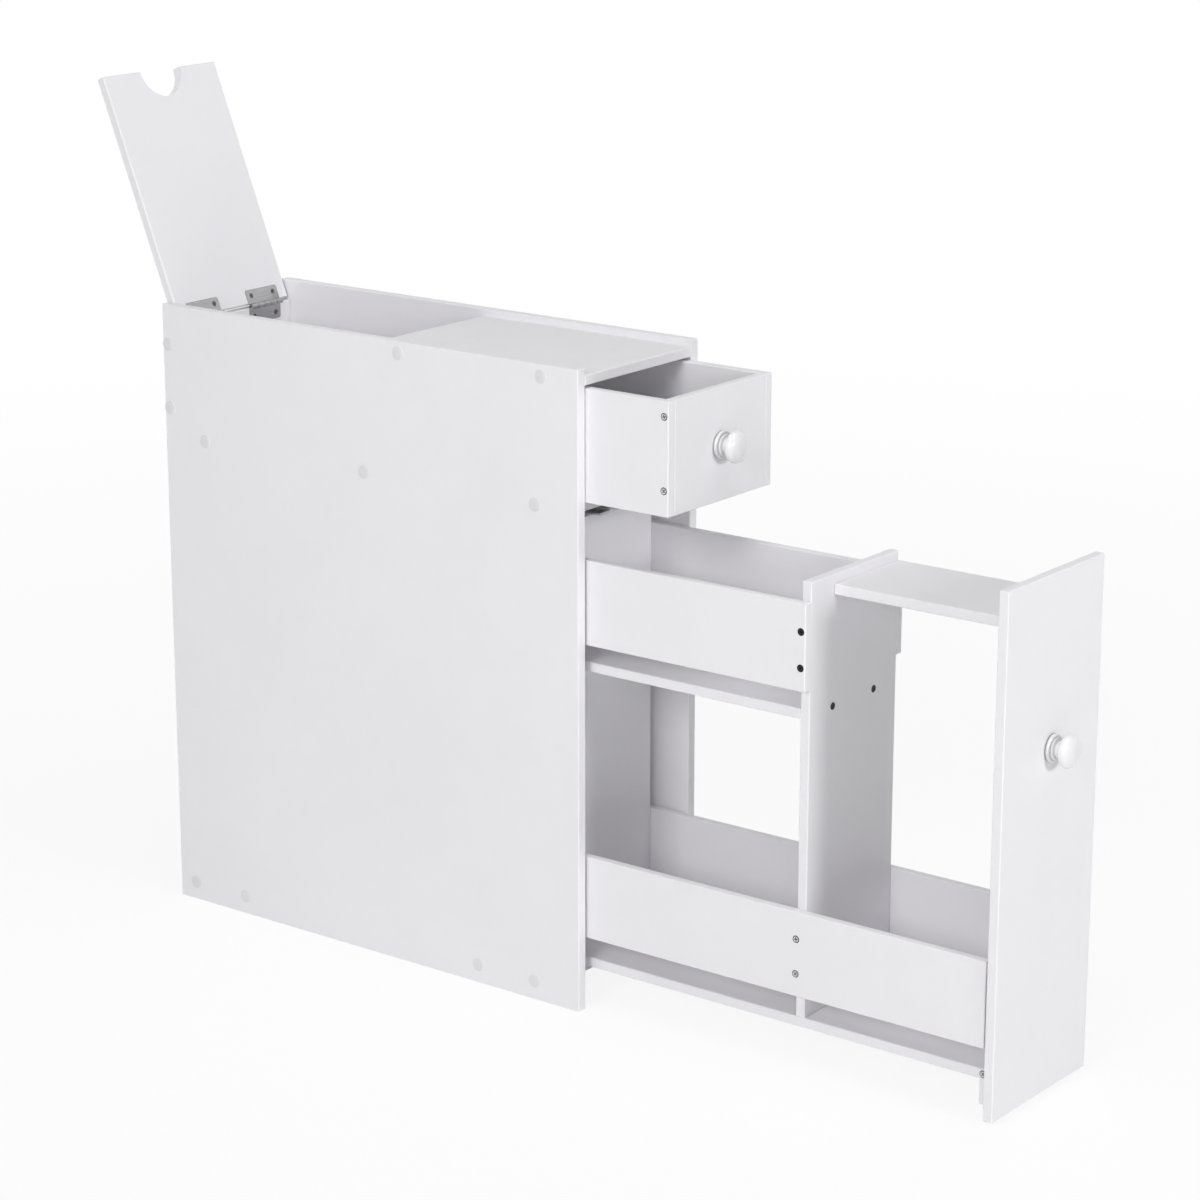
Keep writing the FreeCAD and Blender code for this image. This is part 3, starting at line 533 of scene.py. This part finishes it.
def add_hinge_pins():
    """Hinge pins with ends that are rounded as quarter ellipses."""
    for side in ("left", "right"):
        node = f"{side}_hinge_pin"
        low, high = node_box(node)
        radius, length = (high[2] - low[2]) / 2, high[0] - low[0]
        crown = 0.5 * radius
        foot = arc((0, crown), (radius, crown), -90, 0, 8)
        tip = arc((0, length - crown), (radius, crown), 0, 90, 8)
        pin = lathe(np.concatenate([foot, tip]), PIN_SIDES)
        start = np.array([2 * low[0], low[1] + high[1], low[2] + high[2]]) / 2
        shapes = [placed(pin, square_to(RIGHTWARD), start)]
        # The pin wears the darker screw steel: painted shade that makes the gaps between the knuckles
        # read dark.
        add_piece(f"{side}_rounded_pin", shapes, "screw_steel", "carcass", node)


def lid_way():
    """Way the inner face of the lid looks: straight down when shut, turned up by the angle it
    stands open."""
    joints = {joint["name"]: joint for joint in frame["record"]["behaviour"]["joints"]}
    open_angle = math.radians(-joints["lid_hinge"]["range_deg"][0])
    return 0, -math.sin(open_angle), -math.cos(open_angle)


paint_nodes()
add_knobs()
add_caps()
add_hinge_pins()
# The rails' screws above the low edge of the upper rails are painted near black as shade; those below
# it are pale.
rail_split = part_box("pullout_left_upper_rail")[0][2]
add_screws("drawer_cross_screws", "drawer_screws", "drawer", SIDEWAYS, paint="pale_screw")
add_screws("upper_rail_cross_screws", "pullout_rail_screws", "pullout", SIDEWAYS,
           paint="shade_painted_screw", heights=(rail_split, math.inf))
add_screws("lower_rail_cross_screws", "pullout_rail_screws", "pullout", SIDEWAYS,
           paint="pale_screw", heights=(0, rail_split))
add_screws("floor_cross_screws", "pullout_floor_screws", "pullout", SIDEWAYS, paint="pale_screw")
# The tray's screws are painted near black as shade too.
add_screws("tray_cross_screws", "pullout_tray_screws", "pullout", (FORWARD,), paint="shade_painted_screw")
add_screws("hinge_back_cross_screws", "hinge_back_screws", "carcass", (FORWARD,))
add_screws("hinge_lid_cross_screws", "hinge_lid_screws", "lid", (lid_way(),))
add_screws("drawer_knob_pan_screw", "drawer_knob_screw", "drawer", (BACKWARD,), pan_head)
add_screws("pullout_knob_pan_screw", "pullout_knob_screw", "pullout", (BACKWARD,), pan_head)


def add_camera():
    """Camera at the photograph's viewing angle, solved from the cabinet's corners."""
    focal_px, image_px = 3469.9, 1200
    spot = (-2.3415, -1.8249, 1.1842)
    turn, dip = math.radians(-52.415), math.radians(15.713)
    data = bpy.data.cameras.new("camera")
    data.sensor_width = 36
    data.lens = data.sensor_width * focal_px / image_px
    data.clip_end = 50
    camera = bpy.data.objects.new("camera", data)
    camera.location = spot
    camera.rotation_euler = (math.pi / 2 - dip, 0, turn)
    bpy.context.scene.collection.objects.link(camera)
    bpy.context.scene.camera = camera


def add_floor():
    """Pale floor that keeps a soft shadow round the cabinet and seems white further off."""
    half, near, far, least_white = 14.0, 0.6, 2.8, 0.88
    mesh = bpy.data.meshes.new("floor")
    corners = [(-half, -half, 0), (half, -half, 0), (half, half, 0), (-half, half, 0)]
    mesh.from_pydata(corners, [], [(0, 1, 2, 3)])
    floor = bpy.data.objects.new("floor", mesh)
    bpy.context.scene.collection.objects.link(floor)
    paint = Paint("pale_floor")
    paint.set(Base_Color=FLOOR_PALE, Roughness=0.9, Specular_IOR_Level=0.1)
    white = paint.add("ShaderNodeEmission", {}, {"Color": PAPER_WHITE, "Strength": 1.0})
    distance = paint.add("ShaderNodeVectorMath", {"operation": "LENGTH"}, {0: paint.place}, "Value")
    whiteness = paint.seen() * paint.spread(distance, near, far, least_white, 1.0)
    paint.end(paint.add("ShaderNodeMixShader", {}, {0: whiteness, 1: paint.surface, 2: white}))
    mesh.materials.append(paint.owner)


def add_world(strength):
    """Even light from all round; the camera, gloss and glass see white."""
    world = bpy.data.worlds.new("studio")
    bpy.context.scene.world = world
    nodes = Nodes(world)
    light = nodes.add("ShaderNodeBackground", {}, {"Color": PAPER_WHITE, "Strength": strength})
    white = nodes.add("ShaderNodeBackground", {}, {"Color": PAPER_WHITE, "Strength": 1.0})
    mixed = nodes.add("ShaderNodeMixShader", {}, {0: nodes.seen(), 1: light, 2: white})
    nodes.add("ShaderNodeOutputWorld", {}, {0: mixed})


def add_lamp(name, spot, target, size, power, gloss=True):
    """Rectangular lamp of a width and a height, that looks at a target and may stay out of the
    highlights."""
    data = bpy.data.lights.new(name, "AREA")
    data.shape = "RECTANGLE"
    data.size, data.size_y = size
    data.energy = power
    lamp = bpy.data.objects.new(name, data)
    lamp.visible_camera = False
    lamp.visible_glossy = gloss
    lamp.location = spot
    way = np.array(target) - np.array(spot)
    tilt, turn = math.atan2(math.hypot(way[0], way[1]), -way[2]), math.atan2(-way[0], way[1])
    lamp.rotation_euler = (tilt, 0, turn)
    bpy.context.scene.collection.objects.link(lamp)


WORLD_LIGHT = 0.19
add_camera()
add_floor()
add_world(WORLD_LIGHT)
add_lamp("key", (-3.7, -0.6, 2.0), (0, 0.05, 0.3), (1.3, 1.3), 66)
add_lamp("front", (-0.35, -2.9, 1.1), (0, -0.2, 0.35), (0.46, 0.5), 29.5)
add_lamp("fill", (-3.2, -2.5, 1.3), (0, 0, 0.35), (1.6, 1.2), 17)
add_lamp("top", (-0.3, -0.6, 3.4), (0, -0.2, 0.3), (2.4, 2.4), 35)
add_lamp("right", (4.3, 0.0, 0.6), (0, 0, 0.35), (1.6, 0.8), 60, gloss=False)
add_lamp("rear", (0.0, 4.6, 0.6), (0, 0, 0.4), (1.2, 0.8), 58, gloss=False)

bpy.context.scene.view_settings.view_transform = "Standard"
